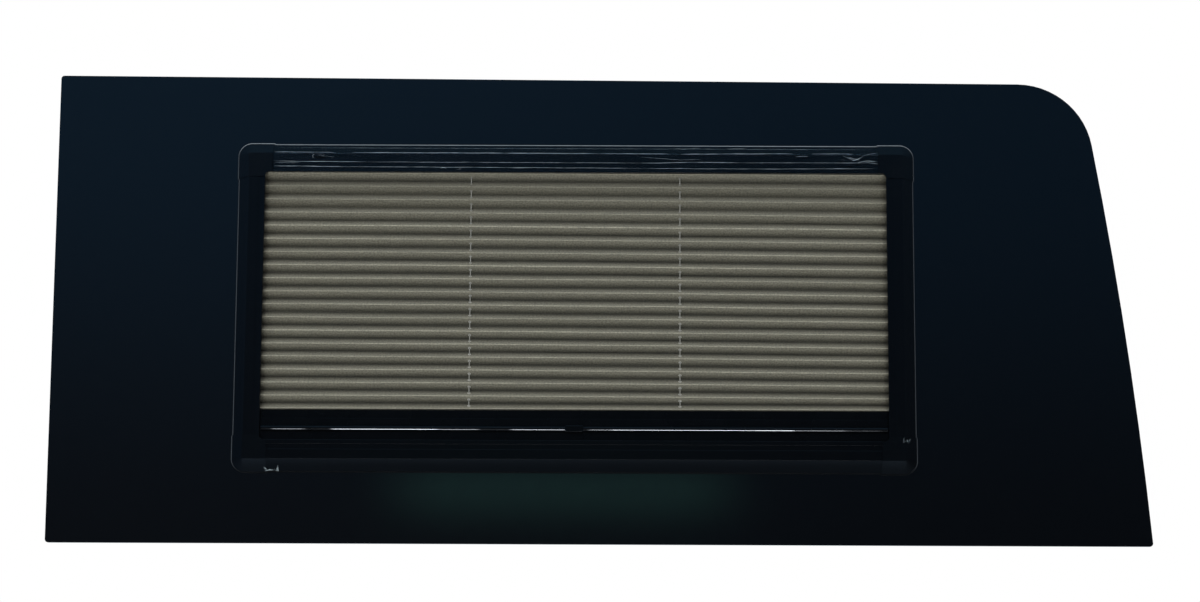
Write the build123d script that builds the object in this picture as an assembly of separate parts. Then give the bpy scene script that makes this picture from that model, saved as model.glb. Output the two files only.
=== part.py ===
# Bonded van side window: a black glass panel with a sliding vent window in it,
# and the blind cassette that frames the vent on the inside.
# It is drawn lying flat, with the glass's inner face at z = 0 and the inside of the van up,
# and is stood up at the end: x along the van, y outwards through the glass, z up.
import math
import os

from build123d import *

# Glass panel: level bottom edge, upright left end, bowed and raked right end
PANEL_LENGTH = 1160.0
PANEL_HEIGHT = 500.0
PANEL_TOP_LENGTH = 1094.0
PANEL_TOP_DROP = 6.5
PANEL_BOW = 6.4
PANEL_CORNER = 80.0
PANEL_CORNER_SMALL = 3.5
GLASS = 5.0
PRINT_BORDER = 22.0
PRINT = 0.1

# Blind cassette: outline, place on the panel and section of its profiles
CASSETTE_LENGTH = 717.5
CASSETTE_HEIGHT = 348.5
CASSETTE_FROM_LEFT = 195.2
CASSETTE_FROM_BOTTOM = 75.5
CASSETTE_CORNER = 13.0
SEAL = 1.5
SEAL_PROUD = 1.2
RISE = 20.0
EDGE = 2.5
BEVEL = 12.0
EDGE_ROUND = 0.3
BAND = 32.0
SIDE_BAND = 29.5
WALL = 1.7
LIP = 2.0
LIP_DROP = 3.5
WEB_AT = 22.0
FOOT = 13.0
FLOOR_BACK = 2.0
GROOVE_AT = 22.2
GROOVE_WIDTH = 5.2
GROOVE_DEPTH = 0.8
OPENING_CORNER = 5.0
LEG = 37.0
LEG_PROUD = 1.0
KEY = 15.0
KEY_FIT = 0.3

# Vent window: frame through the glass, its two tracks and the two panes
CUT_MARGIN = 15.0
CUT_CORNER = 24.0
CUT_FIT = 1.0
VENT_MARGIN = 34.0
VENT_CORNER = 8.0
OUTER_SEAL = 1.0
OUTER_SEAL_PROUD = 0.6
FLANGE = 6.6
FLANGE_REACH = 16.0
FLANGE_CHAMFER = 2.5
FLANGE_WALL = 1.6
DRAIN_LENGTH = 26.0
DRAIN_WIDTH = 4.0
DRAIN_PITCH = 420.0
TRACK_DEPTH = 10.0
TRACK_WALL = 1.5
PANE = 4.0
PANE_RUN = 0.5
PANE_SEAT = 0.3
PANE_GAP = 1.0
PANE_OVERLAP = 30.0
STILE_WIDTH = 12.0
STILE_WALL = 1.1
STILE_FIT = 0.1
STILE_END = 1.0
SEAL_TIP = 0.3
LATCH_LENGTH = 62.0
LATCH_WIDTH = 22.0
LATCH_THICK = 3.2
LATCH_INSET = 14.0

# Blind: pleats, cords, head rail and pull bar
PLEATS = 18
PLEAT_FRONT = 15.5
PLEAT_BACK = 4.6
PLEAT_SHEET = 0.7
PLEAT_SIDE = 4.0
PLEAT_SAG = 0.019
PLEAT_END = 1.4
PLEAT_JOIN = 0.2
CORD = 1.2
CORD_HOLE = 2.4
RAIL_HEIGHT = 8.6
RAIL_WALL = 1.2
RAIL_FIT = 0.5
BAR_SHOW = 31.6
BAR_TUCK = 2.0
BAR_BACK = 6.0
BAR_UPPER = 14.6
BAR_LOWER = 15.2
BAR_MIDDLE = 16.6
BAR_STEP = 8.8
BAR_GRIP_AT = 17.0
BAR_GRIP = 5.2
BAR_GRIP_REACH = 20.4
BAR_GRIP_ROUND = 2.4
BAR_WALL = 1.6
BAR_SIDE_GAP = 1.5
TAB_WIDTH = 19.0
TAB_WALL = 1.0
SHOE_RUN = 0.6
SHOE_PLUG = 12.0
SHOE_ROUND = 2.0
ANCHOR = 8.0
ANCHOR_HEIGHT = 3.0

# What follows from these
PANEL_BASE = -PRINT_BORDER / 2
PANEL_LEFT = -PANEL_LENGTH / 2
CENTRE = Pos(
    PANEL_LEFT + CASSETTE_FROM_LEFT + CASSETTE_LENGTH / 2,
    PANEL_BASE + CASSETTE_FROM_BOTTOM + CASSETTE_HEIGHT / 2,
)
OPENING_LENGTH = CASSETTE_LENGTH - 2 * SIDE_BAND
OPENING_HEIGHT = CASSETTE_HEIGHT - 2 * BAND
CHANNEL_LENGTH = CASSETTE_LENGTH - 2 * WEB_AT
CHANNEL_HEIGHT = CASSETTE_HEIGHT - 2 * WEB_AT
CUT_LENGTH = CASSETTE_LENGTH - 2 * CUT_MARGIN
CUT_HEIGHT = CASSETTE_HEIGHT - 2 * CUT_MARGIN
VENT_LENGTH = CASSETTE_LENGTH - 2 * VENT_MARGIN
VENT_HEIGHT = CASSETTE_HEIGHT - 2 * VENT_MARGIN
TRACK = PANE + 2 * PANE_RUN
FLANGE_BACK = -GLASS - OUTER_SEAL
FLANGE_FACE = FLANGE_BACK - FLANGE
OUTER_TRACK = FLANGE_FACE + FLANGE_WALL
INNER_TRACK = OUTER_TRACK + TRACK + TRACK_WALL
SPIGOT_END = INNER_TRACK + TRACK + TRACK_WALL
FLOOR_UNDER = SPIGOT_END + KEY_FIT
FLOOR = FLOOR_UNDER + WALL
PLEAT_MIDDLE = (PLEAT_FRONT + PLEAT_BACK) / 2
BLIND_LENGTH = CHANNEL_LENGTH - 2 * PLEAT_SIDE
CORD_AT = BLIND_LENGTH / 6
BAR_TOP = -OPENING_HEIGHT / 2 + BAR_SHOW
BAR_HEIGHT = BAR_SHOW + BAR_TUCK
BAR_LENGTH = OPENING_LENGTH - 2 * BAR_SIDE_GAP
SIDES = ("top", "left", "bottom", "right")
CORNERS = ("top_left", "bottom_left", "bottom_right", "top_right")
BANDS = (BAND, SIDE_BAND, BAND, SIDE_BAND)
SPANS = (CASSETTE_LENGTH, CASSETTE_HEIGHT, CASSETTE_LENGTH, CASSETTE_HEIGHT)
REACHES = (CASSETTE_HEIGHT / 2, CASSETTE_LENGTH / 2, CASSETTE_HEIGHT / 2, CASSETTE_LENGTH / 2)

STAND = Plane((0, PRINT, 0), x_dir=(1, 0, 0), z_dir=(0, -1, 0)).location
nodes = {}


def plate(sketch, low, high):
    """A flat outline given its thickness, from one height to another."""
    return extrude(Pos(0, 0, low) * sketch, high - low)


def rounded(length, height, radius, grow=0.0):
    """A rectangle with round corners, grown on all sides."""
    return RectangleRounded(length + 2 * grow, height + 2 * grow, radius + grow)


def section(*points):
    """A section across a profile: each point is its distance in from the outer edge and its height."""
    return Polygon(*[(-u, z) for u, z in points], align=None)


def eased(face, *points):
    """A section with its corners at these points rounded."""
    for point in points:
        face = fillet(face.vertices().sort_by_distance(point)[0], EDGE_ROUND)
    return face


def along(face, length, centre=0.0):
    """A profile of this section, lying along x."""
    return Pos(centre) * extrude(Plane.YZ * face, length / 2, both=True)


def on_side(k, solid):
    """A profile moved to the top, left, bottom or right of the cassette."""
    return Rot(0, 0, 90 * k) * Pos(0, REACHES[k]) * solid


# Glass panel: toughened black glass with the vent cut out and a printed border for the adhesive
def panel_outline():
    left = PANEL_LEFT
    right = left + PANEL_LENGTH
    top_left = (left, PANEL_BASE + PANEL_HEIGHT)
    top_right = (left + PANEL_TOP_LENGTH, PANEL_BASE + PANEL_HEIGHT - PANEL_TOP_DROP)
    bottom_right = (right, PANEL_BASE)
    edges = [
        Line((left, PANEL_BASE), bottom_right),
        SagittaArc(bottom_right, top_right, -PANEL_BOW),
        Line(top_right, top_left),
        Line(top_left, (left, PANEL_BASE)),
    ]
    outline = make_face(edges)
    far = outline.vertices().sort_by_distance(top_right)
    outline = fillet(far[0], PANEL_CORNER)
    sharp = [outline.vertices().sort_by_distance(p)[0] for p in (top_left, bottom_right, (left, PANEL_BASE))]
    return fillet(sharp, PANEL_CORNER_SMALL)


outline = panel_outline()
cut_out = CENTRE * rounded(CUT_LENGTH, CUT_HEIGHT, CUT_CORNER)
glass = plate(outline - cut_out, -GLASS, 0)
border = outline - offset(outline, -PRINT_BORDER, kind=Kind.INTERSECTION)
nodes["glass_panel"] = glass + plate(border, 0, PRINT)

# Vent frame: one bent extrusion, flange outside, two tracks, reaching in through the cut-out
flange = plate(rounded(CUT_LENGTH, CUT_HEIGHT, CUT_CORNER, FLANGE_REACH), FLANGE_FACE, FLANGE_BACK)
flange = chamfer(flange.faces().sort_by(Axis.Z)[0].edges(), FLANGE_CHAMFER)
spigot = plate(rounded(CUT_LENGTH, CUT_HEIGHT, CUT_CORNER, -CUT_FIT), FLANGE_BACK, SPIGOT_END)
vent = rounded(VENT_LENGTH, VENT_HEIGHT, VENT_CORNER)
track = rounded(VENT_LENGTH, VENT_HEIGHT, VENT_CORNER, TRACK_DEPTH)
vent_frame = flange + spigot - plate(vent, FLANGE_FACE, SPIGOT_END)
for low in (OUTER_TRACK, INNER_TRACK):
    vent_frame -= plate(track, low, low + TRACK)
drain_at = -VENT_HEIGHT / 2 - TRACK_DEPTH + DRAIN_WIDTH / 2
for place in GridLocations(DRAIN_PITCH, 0, 2, 1):
    drain = place * Pos(0, drain_at) * SlotOverall(DRAIN_LENGTH, DRAIN_WIDTH)
    vent_frame -= plate(drain, FLANGE_FACE, OUTER_TRACK)
nodes["vent_frame"] = CENTRE * vent_frame

seal_outline = rounded(CUT_LENGTH, CUT_HEIGHT, CUT_CORNER, FLANGE_REACH + OUTER_SEAL_PROUD)
seal_ring = seal_outline - rounded(CUT_LENGTH, CUT_HEIGHT, CUT_CORNER)
nodes["vent_seal"] = CENTRE * plate(seal_ring, FLANGE_BACK, -GLASS)


# Panes: the left one fixed in the outer track, the right one sliding in the inner track
def pane(hand, low):
    far = VENT_LENGTH / 2 + TRACK_DEPTH - PANE_GAP
    near = PANE_OVERLAP / 2
    base = -VENT_HEIGHT / 2 - TRACK_DEPTH + PANE_SEAT
    top = VENT_HEIGHT / 2 + TRACK_DEPTH - PANE_GAP
    middle = Pos(hand * (far - near) / 2, (base + top) / 2)
    sheet = middle * Rectangle(far + near, top - base)
    outer = sheet.vertices().group_by(Axis.X)[-1 if hand > 0 else 0]
    return plate(fillet(outer, VENT_CORNER + TRACK_DEPTH - PANE_GAP), low, low + PANE)


def stile(hand, low):
    """A channel pressed on a pane's free edge, between the tracks above and below."""
    edge = -hand * PANE_OVERLAP / 2
    thick = PANE + 2 * STILE_FIT + 2 * STILE_WALL
    slot = PANE + 2 * STILE_FIT
    body = Box(STILE_WIDTH, VENT_HEIGHT - 2 * STILE_END, thick)
    body -= Pos(hand * (STILE_WALL + STILE_FIT)) * Box(STILE_WIDTH, VENT_HEIGHT, slot)
    shift = hand * (STILE_WIDTH / 2 - STILE_WALL - STILE_FIT)
    return Pos(edge + shift, 0, low + PANE / 2) * body


fixed_low = OUTER_TRACK + PANE_RUN
sliding_low = INNER_TRACK + PANE_RUN
nodes["fixed_pane"] = CENTRE * pane(-1, fixed_low)
nodes["sliding_pane"] = CENTRE * pane(1, sliding_low)
stile_face = fixed_low + PANE + STILE_FIT + STILE_WALL
lip_height = sliding_low - SEAL_TIP - stile_face
stile_length = VENT_HEIGHT - 2 * STILE_END
seal_lip = Box(STILE_WALL, stile_length, lip_height, align=(Align.MIN, Align.CENTER, Align.MIN))
lip_place = Pos(PANE_OVERLAP / 2 + STILE_FIT, 0, stile_face)
nodes["fixed_stile"] = CENTRE * (stile(-1, fixed_low) + lip_place * seal_lip)
nodes["sliding_stile"] = CENTRE * stile(1, sliding_low)

latch_at = VENT_LENGTH / 2 - LATCH_INSET - LATCH_WIDTH / 2
latch = plate(SlotOverall(LATCH_LENGTH, LATCH_WIDTH, rotation=90), 0, LATCH_THICK)
latch = chamfer(latch.faces().sort_by(Axis.Z)[-1].edges(), LATCH_THICK / 3)
thumb = Pos(0, LATCH_LENGTH / 5, LATCH_THICK) * Box(LATCH_WIDTH * 0.6, LATCH_WIDTH / 3, LATCH_THICK / 2)
nodes["vent_latch"] = CENTRE * Pos(latch_at, 0, sliding_low + PANE) * (latch - thumb)


def corner_zone(corner, grow):
    """The square that one corner moulding covers, seen from above, grown past the cassette's outline."""
    side = LEG + grow
    x = CASSETTE_LENGTH / 2 - LEG + side / 2
    y = CASSETTE_HEIGHT / 2 - LEG + side / 2
    return Pos(-x if "left" in corner else x, -y if "bottom" in corner else y) * Rectangle(side, side)


# Cassette seal: the grey line round the cassette's foot, stepping out round its corners
foot_room = Rectangle(CASSETTE_LENGTH - 2 * FOOT, CASSETTE_HEIGHT - 2 * FOOT)
ring = rounded(CASSETTE_LENGTH, CASSETTE_HEIGHT, CASSETTE_CORNER, SEAL_PROUD)
wide_ring = rounded(CASSETTE_LENGTH, CASSETTE_HEIGHT, CASSETTE_CORNER, SEAL_PROUD + LEG_PROUD)
for corner in CORNERS:
    ring += wide_ring & corner_zone(corner, SEAL_PROUD + LEG_PROUD)
ring -= foot_room
nodes["cassette_seal"] = CENTRE * plate(ring, 0, SEAL)

# Cassette profiles: bevelled and chambered, with a channel under the lip for the blind
closed = section((0, SEAL), (0, SEAL + EDGE), (BEVEL, RISE), (WEB_AT, RISE), (WEB_AT, SEAL))
chamber = offset(closed, -WALL, kind=Kind.INTERSECTION)
groove = section(
    (GROOVE_AT, RISE - GROOVE_DEPTH),
    (GROOVE_AT, RISE + GROOVE_DEPTH),
    (GROOVE_AT + GROOVE_WIDTH, RISE + GROOVE_DEPTH),
    (GROOVE_AT + GROOVE_WIDTH, RISE - GROOVE_DEPTH),
)


def profile_section(band):
    """The section of a profile whose band is this wide, from the outer edge to the opening."""
    skin = section(
        (0, SEAL),
        (0, SEAL + EDGE),
        (BEVEL, RISE),
        (band, RISE),
        (band, RISE - LIP_DROP),
        (band - WALL, RISE - LIP_DROP),
        (band - WALL, RISE - LIP),
        (WEB_AT, RISE - LIP),
        (WEB_AT, FLOOR),
        (band - FLOOR_BACK, FLOOR),
        (band - FLOOR_BACK, FLOOR_UNDER),
        (FOOT, FLOOR_UNDER),
        (FOOT, SEAL),
    )
    groove_edges = [(-GROOVE_AT, RISE), (-GROOVE_AT - GROOVE_WIDTH, RISE)]
    return eased(skin - chamber - groove, (0, SEAL + EDGE), (-BEVEL, RISE), *groove_edges, (-band, RISE))


for k, side in enumerate(SIDES):
    profile = along(profile_section(BANDS[k]), SPANS[k] - 2 * LEG)
    nodes[f"cassette_{side}"] = CENTRE * on_side(k, profile)

# Cassette corners: mouldings a little proud of the profiles, keyed into their chambers
block = rounded(CASSETTE_LENGTH, CASSETTE_HEIGHT, CASSETTE_CORNER, LEG_PROUD)
slope = math.degrees(math.atan(BEVEL / (RISE - SEAL - EDGE)))
mass = plate(block, SEAL, SEAL + EDGE)
mass += extrude(Pos(0, 0, SEAL + EDGE) * block, RISE + LEG_PROUD - SEAL - EDGE, taper=slope)
opening = rounded(OPENING_LENGTH, OPENING_HEIGHT, OPENING_CORNER)
lip_outline = rounded(OPENING_LENGTH, OPENING_HEIGHT, OPENING_CORNER, WALL)
channel = Rectangle(CHANNEL_LENGTH, CHANNEL_HEIGHT)
floor_edge = Rectangle(OPENING_LENGTH + 2 * FLOOR_BACK, OPENING_HEIGHT + 2 * FLOOR_BACK)
mass -= plate(opening, FLOOR, RISE + 2 * LEG_PROUD)
mass -= plate(channel, FLOOR, RISE - LIP_DROP)
mass -= plate(channel - lip_outline, RISE - LIP_DROP, RISE - LIP)
mass -= plate(foot_room, 0, FLOOR_UNDER)
mass -= plate(floor_edge, 0, FLOOR)
key = offset(chamber, -KEY_FIT, kind=Kind.INTERSECTION)
for k, corner in enumerate(CORNERS):
    room = plate(corner_zone(corner, LEG_PROUD), 0, 2 * RISE)
    keys = [
        on_side(k, along(key, KEY, -(SPANS[k] / 2 - LEG - KEY / 2))),
        on_side((k + 1) % 4, along(key, KEY, SPANS[(k + 1) % 4] / 2 - LEG - KEY / 2)),
    ]
    nodes[f"corner_{corner}"] = CENTRE * ((mass & room) + keys)

# Head rail: a channel in the cassette's top, which holds the top pleat and the cords
rail_top = CHANNEL_HEIGHT / 2
rail_depth = PLEAT_FRONT - PLEAT_BACK
rail = Box(BLIND_LENGTH, RAIL_HEIGHT, rail_depth)
rail -= Pos(0, -RAIL_WALL) * Box(BLIND_LENGTH, RAIL_HEIGHT, rail_depth - 2 * RAIL_WALL)
nodes["head_rail"] = CENTRE * Pos(0, rail_top - RAIL_HEIGHT / 2, PLEAT_MIDDLE) * rail

# Pleated blind: one sheet folded to and fro, opened more above by its own weight, pierced for the cords
sheet_top = rail_top - RAIL_HEIGHT - PLEAT_JOIN
sheet_base = BAR_TOP + PLEAT_JOIN
fold_top = sheet_top - PLEAT_END
fold_height = fold_top - (sheet_base + PLEAT_END)
folds = [(sheet_top, PLEAT_MIDDLE)]
for i in range(2 * PLEATS + 1):
    t = i / (2 * PLEATS)
    y = fold_top - fold_height * (t + PLEAT_SAG * t * (1 - t))
    folds.append((y, PLEAT_BACK + PLEAT_SHEET if i % 2 else PLEAT_FRONT))
folds.append((sheet_base, PLEAT_MIDDLE))
backs = [(y, z - PLEAT_SHEET) for y, z in reversed(folds)]
sheet = along(Polygon(*folds, *backs, align=None), BLIND_LENGTH)
hole = extrude(Plane.XZ * RegularPolygon(CORD_HOLE / 2, 6), CASSETTE_HEIGHT / 2, both=True)
for hand in (-1, 1):
    sheet -= Pos(hand * CORD_AT, 0, PLEAT_MIDDLE) * hole
nodes["pleated_blind"] = CENTRE * sheet

# Cords: taut from the head rail to an anchor each in the cassette's bottom channel
anchor_base = -CHANNEL_HEIGHT / 2
cord_top = rail_top - RAIL_WALL
cord_base = anchor_base + ANCHOR_HEIGHT
for side, hand in (("left", -1), ("right", 1)):
    cord_line = CENTRE * Pos(hand * CORD_AT, 0, PLEAT_MIDDLE)
    thread = Cylinder(CORD / 2, cord_top - cord_base, rotation=(90, 0, 0))
    nodes[f"cord_{side}"] = cord_line * Pos(0, (cord_top + cord_base) / 2) * thread
    button = Cylinder(ANCHOR / 2, ANCHOR_HEIGHT, rotation=(90, 0, 0))
    nodes[f"anchor_{side}"] = cord_line * Pos(0, anchor_base + ANCHOR_HEIGHT / 2) * button

# Pull bar: a hollow extrusion with a round grip rib along its front
bar_base = BAR_TOP - BAR_HEIGHT
grip_top = BAR_TOP - BAR_GRIP_AT
grip_base = grip_top - BAR_GRIP
bar_face = Polygon(
    (BAR_TOP, BAR_BACK),
    (BAR_TOP, BAR_UPPER),
    (BAR_TOP - BAR_STEP, BAR_UPPER),
    (BAR_TOP - BAR_STEP, BAR_MIDDLE),
    (grip_top, BAR_MIDDLE),
    (grip_top, BAR_GRIP_REACH),
    (grip_base, BAR_GRIP_REACH),
    (grip_base, BAR_LOWER),
    (bar_base, BAR_LOWER),
    (bar_base, BAR_BACK),
    align=None,
)
bar_face = fillet(bar_face.vertices().group_by(Axis.Y)[-1], BAR_GRIP_ROUND)
bar_face = eased(bar_face, (BAR_TOP, BAR_UPPER), (BAR_TOP - BAR_STEP, BAR_MIDDLE))
hollow_height = BAR_HEIGHT - 2 * BAR_WALL
hollow_depth = BAR_UPPER - BAR_BACK - 2 * BAR_WALL
hollow_place = Pos(BAR_TOP - BAR_HEIGHT / 2, (BAR_BACK + BAR_UPPER) / 2)
bar_hollow = hollow_place * Rectangle(hollow_height, hollow_depth)
bar = along(bar_face - bar_hollow, BAR_LENGTH)
for hand in (-1, 1):
    bar -= Pos(hand * CORD_AT, 0, PLEAT_MIDDLE) * hole
nodes["pull_bar"] = CENTRE * bar

tab_height = BAR_GRIP + 2 * TAB_WALL
tab_depth = BAR_GRIP_REACH + TAB_WALL - BAR_MIDDLE
tab = Box(TAB_WIDTH, tab_height, tab_depth, align=(Align.CENTER, Align.CENTER, Align.MIN))
tab = fillet(tab.faces().sort_by(Axis.Z)[-1].edges(), TAB_WALL)
tab = Pos(0, grip_top - BAR_GRIP / 2, BAR_MIDDLE) * tab
nodes["grip_tab"] = CENTRE * (tab - bar)

# Guide shoes: mouldings plugged into the bar's ends, running in the side channels
shoe_depth = RISE - LIP_DROP - FLOOR - 2 * SHOE_RUN
shoe_width = (CHANNEL_LENGTH - BAR_LENGTH) / 2 - SHOE_RUN
shoe_middle = FLOOR + SHOE_RUN + shoe_depth / 2
for side, hand in (("left", -1), ("right", 1)):
    shoe = Box(shoe_width, BAR_HEIGHT, shoe_depth)
    shoe = fillet(shoe.edges().filter_by(Axis.Z), SHOE_ROUND)
    shoe = Pos(hand * (BAR_LENGTH + shoe_width) / 2, BAR_TOP - BAR_HEIGHT / 2, shoe_middle) * shoe
    plug = along(offset(bar_hollow, -KEY_FIT, kind=Kind.INTERSECTION), SHOE_PLUG)
    plug = Pos(hand * (BAR_LENGTH - SHOE_PLUG) / 2) * plug
    nodes[f"guide_shoe_{side}"] = CENTRE * (shoe + plug)

os.makedirs("parts", exist_ok=True)
for name, solid in nodes.items():
    export_step(STAND * solid, f"parts/{name}.step")
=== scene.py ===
import math
import bmesh
import bpy
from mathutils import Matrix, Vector, noise


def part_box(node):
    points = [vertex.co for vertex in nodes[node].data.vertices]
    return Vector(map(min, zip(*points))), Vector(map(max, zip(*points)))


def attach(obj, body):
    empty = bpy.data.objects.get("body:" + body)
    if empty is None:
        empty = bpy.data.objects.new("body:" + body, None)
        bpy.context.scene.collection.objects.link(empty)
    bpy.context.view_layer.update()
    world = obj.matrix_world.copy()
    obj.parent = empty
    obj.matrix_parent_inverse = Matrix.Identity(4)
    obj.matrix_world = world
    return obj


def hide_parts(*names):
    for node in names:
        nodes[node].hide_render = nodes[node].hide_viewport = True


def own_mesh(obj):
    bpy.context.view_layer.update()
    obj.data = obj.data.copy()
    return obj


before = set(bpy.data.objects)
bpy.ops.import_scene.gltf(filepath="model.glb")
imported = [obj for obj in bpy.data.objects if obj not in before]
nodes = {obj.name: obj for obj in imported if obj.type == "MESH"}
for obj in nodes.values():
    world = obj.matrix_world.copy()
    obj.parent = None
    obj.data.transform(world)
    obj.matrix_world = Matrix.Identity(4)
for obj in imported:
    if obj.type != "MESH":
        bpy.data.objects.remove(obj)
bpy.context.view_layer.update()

# Glass panel: toughened side glass, black right through, polished and 5 mm thick.
# Its margin is bonded to the van's body; fine dust has settled on it.
GLASS_BLACK, GLASS_DUST = (0.0003, 0.0005, 0.0007), (0.006, 0.007, 0.008)
GLASS_IOR = 1.5
DUST_MIST = 0.35


def finish_of(name):
    """A fresh material with its Principled shader and its object coordinates."""
    material = bpy.data.materials.new(name)
    material.use_nodes = True
    tree = material.node_tree
    place = tree.nodes.new("ShaderNodeTexCoord").outputs["Object"]
    return material, tree, tree.nodes["Principled BSDF"], place


def coat(node, material):
    """Gives a carried-over piece its finish."""
    target = nodes[node].data
    target.materials.clear()
    target.materials.append(material)


def drive(shader, label, value):
    """Feeds one of a shader's sockets from another node."""
    shader.id_data.links.new(value, shader.inputs[label])


def put(tree, socket, value):
    """Feeds a socket from another node, or sets it to a number or a colour."""
    if isinstance(value, bpy.types.NodeSocket):
        tree.links.new(value, socket)
    else:
        socket.default_value = (*value, 1) if isinstance(value, tuple) else value


def group_of(name, inputs, outputs):
    """An empty shader group with named sockets."""
    tree = bpy.data.node_groups.new(name, "ShaderNodeTree")
    for label, kind, value in inputs:
        socket = tree.interface.new_socket(label, in_out="INPUT", socket_type=kind)
        if value is not None:
            socket.default_value = value
    for label, kind in outputs:
        tree.interface.new_socket(label, in_out="OUTPUT", socket_type=kind)
    return tree, tree.nodes.new("NodeGroupInput"), tree.nodes.new("NodeGroupOutput")


def math_node(tree, kind, a, b=None, clamp=False):
    """One step of arithmetic, on numbers or on what other nodes put out."""
    node = tree.nodes.new("ShaderNodeMath")
    node.operation = kind
    node.use_clamp = clamp
    put(tree, node.inputs[0], a)
    if b is not None:
        put(tree, node.inputs[1], b)
    return node.outputs[0]


def ramp(tree, value, low, high, to_low=0.0, to_high=1.0):
    """A soft step from one number to another, as a value goes from low to high."""
    node = tree.nodes.new("ShaderNodeMapRange")
    node.interpolation_type = "SMOOTHSTEP"
    tree.links.new(value, node.inputs["Value"])
    for label, number in (("From Min", low), ("From Max", high), ("To Min", to_low), ("To Max", to_high)):
        node.inputs[label].default_value = number
    return node.outputs["Result"]


def noise_node(tree, place, scale, detail=3.0):
    """Uneven patches, so many to the metre."""
    node = tree.nodes.new("ShaderNodeTexNoise")
    tree.links.new(place, node.inputs["Vector"])
    node.inputs["Scale"].default_value = scale
    node.inputs["Detail"].default_value = detail
    return node.outputs["Fac"]


def two_tone(tree, mask, under, over, blend="MIX"):
    """One colour laid over another by a mask; each is given or comes from a node."""
    node = tree.nodes.new("ShaderNodeMix")
    node.data_type = "RGBA"
    node.blend_type = blend
    for label, value in (("Factor", mask), ("A", under), ("B", over)):
        put(tree, node.inputs[label], value)
    return node.outputs["Result"]


dust, dust_in, dust_out = group_of(
    "Settled dust",
    [
        ("Place", "NodeSocketVector", None),
        ("Speck Scale", "NodeSocketFloat", 900.0),
        ("Amount", "NodeSocketFloat", 0.2),
    ],
    [("Mask", "NodeSocketFloat")],
)
speck = dust.nodes.new("ShaderNodeTexVoronoi")
dust.links.new(dust_in.outputs["Place"], speck.inputs["Vector"])
dust.links.new(dust_in.outputs["Speck Scale"], speck.inputs["Scale"])
dot = ramp(dust, speck.outputs["Distance"], 0.05, 0.22, 1.0, 0.0)
drift = ramp(dust, noise_node(dust, dust_in.outputs["Place"], scale=9.0), 0.42, 0.68)
mist = noise_node(dust, dust_in.outputs["Place"], scale=60.0, detail=5.0)
mist = math_node(dust, "MULTIPLY", mist, DUST_MIST)
fallen = math_node(dust, "ADD", math_node(dust, "MULTIPLY", dot, drift), mist)
laid = math_node(dust, "MULTIPLY", fallen, dust_in.outputs["Amount"], clamp=True)
dust.links.new(laid, dust_out.inputs["Mask"])


def dusted(tree, place, scale, amount):
    """A mask of settled dust, with so many specks to the metre."""
    node = tree.nodes.new("ShaderNodeGroup")
    node.node_tree = dust
    tree.links.new(place, node.inputs["Place"])
    node.inputs["Speck Scale"].default_value = scale
    node.inputs["Amount"].default_value = amount
    return node.outputs["Mask"]


black_glass, tree, shader, place = finish_of("black_glass")
veil = dusted(tree, place, scale=700.0, amount=0.25)
drive(shader, "Base Color", two_tone(tree, veil, GLASS_BLACK, GLASS_DUST))
drive(shader, "Roughness", ramp(tree, veil, 0.0, 0.4, 0.06, 0.30))
shader.inputs["IOR"].default_value = GLASS_IOR
coat("glass_panel", black_glass)

# Vent frame and gaskets: black-coated aluminium bent round the cut-out and clamped through it,
# with a rubber gasket under its flange. The cassette has a thin grey gasket under its foot, with a
# painted highlight along its top, painted shade along its bottom, and its left side painted lighter than
# its right.
COAT_BLACK, COAT_DUST = (0.0009, 0.0012, 0.0017), (0.007, 0.008, 0.009)
RUBBER_BLACK, RUBBER_DUST = (0.010, 0.010, 0.011), (0.05, 0.05, 0.05)
SEAL_LEFT, SEAL_RIGHT = (0.062, 0.070, 0.077), (0.055, 0.061, 0.067)
SEAL_PAINTED_SHADE, SEAL_PAINTED_HIGHLIGHT = (0.006, 0.007, 0.008), (0.31, 0.34, 0.36)
SEAL_EDGE, HIGHLIGHT_DEPTH, SHADE_HEIGHT = 0.001, 0.014, 0.016
GRAIN_BUMP = 0.35

grain, grain_in, grain_out = group_of(
    "Fine grain",
    [("Place", "NodeSocketVector", None), ("Scale", "NodeSocketFloat", 1500.0)],
    [("Height", "NodeSocketFloat"), ("Patch", "NodeSocketFloat")],
)
pebble = grain.nodes.new("ShaderNodeTexNoise")
grain.links.new(grain_in.outputs["Place"], pebble.inputs["Vector"])
grain.links.new(grain_in.outputs["Scale"], pebble.inputs["Scale"])
pebble.inputs["Detail"].default_value = 2.0
grain.links.new(pebble.outputs["Fac"], grain_out.inputs["Height"])
slow = noise_node(grain, grain_in.outputs["Place"], scale=35.0, detail=4.0)
grain.links.new(slow, grain_out.inputs["Patch"])


def embossed(tree, shader, height, strength, depth):
    """Gives a surface the relief of a height."""
    bump = tree.nodes.new("ShaderNodeBump")
    bump.inputs["Strength"].default_value = strength
    bump.inputs["Distance"].default_value = depth
    tree.links.new(height, bump.inputs["Height"])
    drive(shader, "Normal", bump.outputs["Normal"])


def grained(tree, shader, place, scale, depth):
    """Lays a fine grain on a surface and returns its slow patches."""
    node = tree.nodes.new("ShaderNodeGroup")
    node.node_tree = grain
    tree.links.new(place, node.inputs["Place"])
    node.inputs["Scale"].default_value = scale
    embossed(tree, shader, node.outputs["Height"], GRAIN_BUMP, depth)
    return node.outputs["Patch"]


def stretched(tree, place, x, y, z):
    """A place scaled on its axes, which draws a pattern out where the scale is small."""
    node = tree.nodes.new("ShaderNodeMapping")
    node.inputs["Scale"].default_value = (x, y, z)
    tree.links.new(place, node.inputs["Vector"])
    return node.outputs["Vector"]


def axes_of(tree, place):
    """The coordinates of a place, each by itself."""
    node = tree.nodes.new("ShaderNodeSeparateXYZ")
    tree.links.new(place, node.inputs["Vector"])
    return node.outputs


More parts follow.
